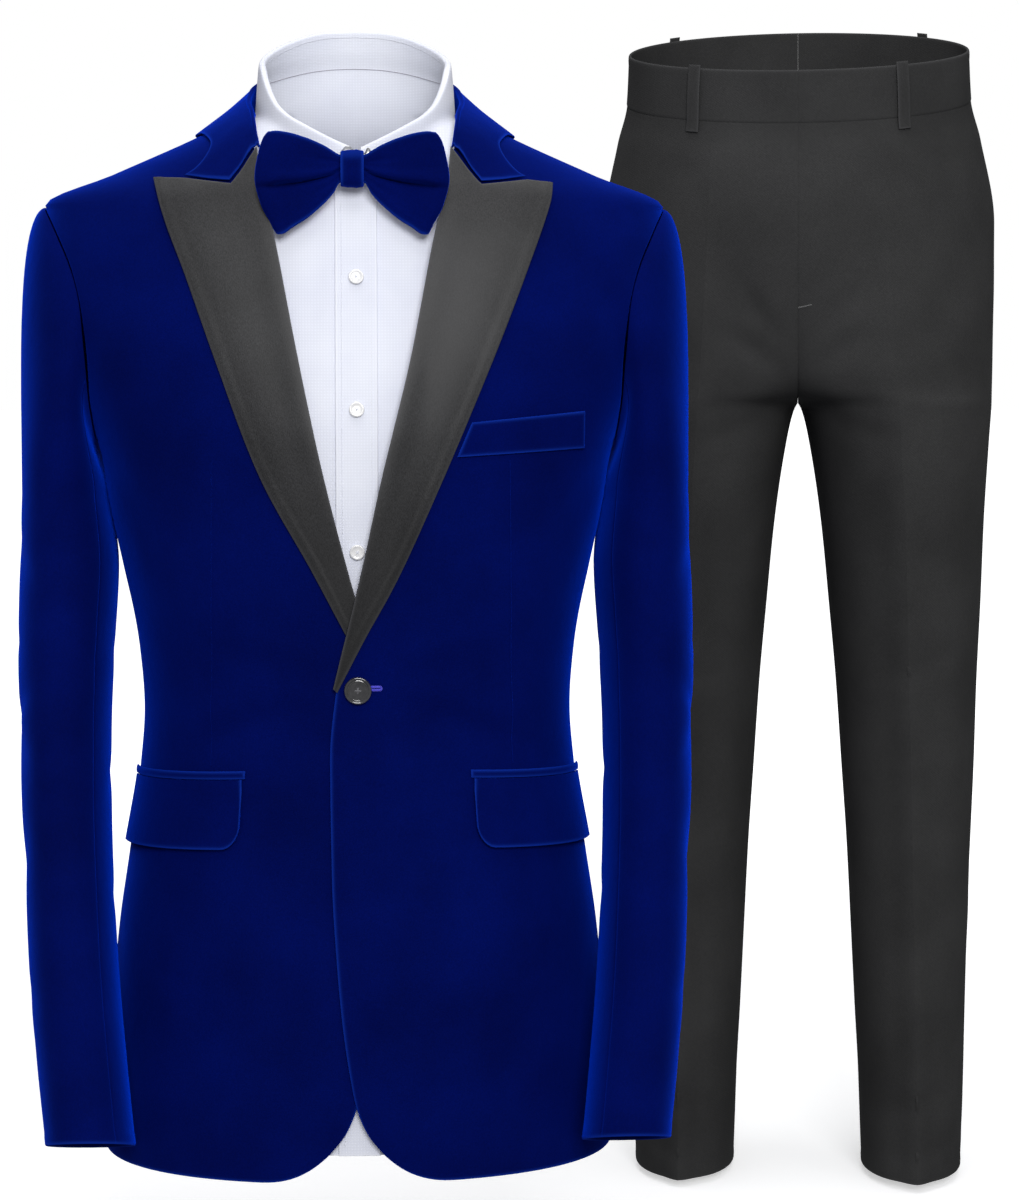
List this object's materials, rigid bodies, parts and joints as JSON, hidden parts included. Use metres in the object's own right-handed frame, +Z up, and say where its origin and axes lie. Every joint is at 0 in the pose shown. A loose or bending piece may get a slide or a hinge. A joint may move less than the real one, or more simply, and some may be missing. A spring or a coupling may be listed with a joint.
{
  "type": "tuxedo",
  "caption": "Velvet dinner jacket with satin peak lapels over a dress shirt and velvet bow tie, with plain dark trousers standing behind it.",
  "frame": {"origin": "middle of the jacket's neck, level with the points where its shoulder seams meet the collar", "axes": "+Z up, the jacket's front faces -Y, and the wearer's left is +X"},
  "size_m": [0.815, 0.7024, 1.0281],
  "materials": {
    "velvet": "deep blue pile",
    "satin": "black satin with a soft sheen",
    "cotton": "smooth white shirting",
    "wool": "matt charcoal suiting",
    "horn": "polished black",
    "pearl": "polished white",
    "steel": "bright"
  },
  "bodies": {
    "root": {"belt_loop_back_left": "wool", "belt_loop_back_right": "wool", "belt_loop_front_left": "wool", "belt_loop_front_right": "wool", "bow_band": "velvet", "bow_hook": "steel", "bow_knot": "velvet", "bow_wing_left": "velvet", "bow_wing_right": "velvet", "breast_welt": "velvet", "flap_left": "velvet", "flap_right": "velvet", "front_button": "horn", "jacket_back_left": "velvet", "jacket_back_right": "velvet", "jacket_collar": "velvet", "jacket_front_left": "velvet", "jacket_front_right": "velvet", "jet_left": "velvet", "jet_right": "velvet", "lapel_left": "satin", "lapel_right": "satin", "shirt_back": "cotton", "shirt_button_1": "pearl", "shirt_button_2": "pearl", "shirt_button_3": "pearl", "shirt_collar_leaf": "cotton", "shirt_collar_stand": "cotton", "shirt_front_left": "cotton", "shirt_front_right": "cotton", "shirt_placket": "cotton", "sleeve_top_left": "velvet", "sleeve_top_right": "velvet", "sleeve_under_left": "velvet", "sleeve_under_right": "velvet", "trouser_back_left": "wool", "trouser_back_right": "wool", "trouser_front_left": "wool", "trouser_front_right": "wool", "waistband_left": "wool", "waistband_right": "wool"}
  },
  "joints": []
}
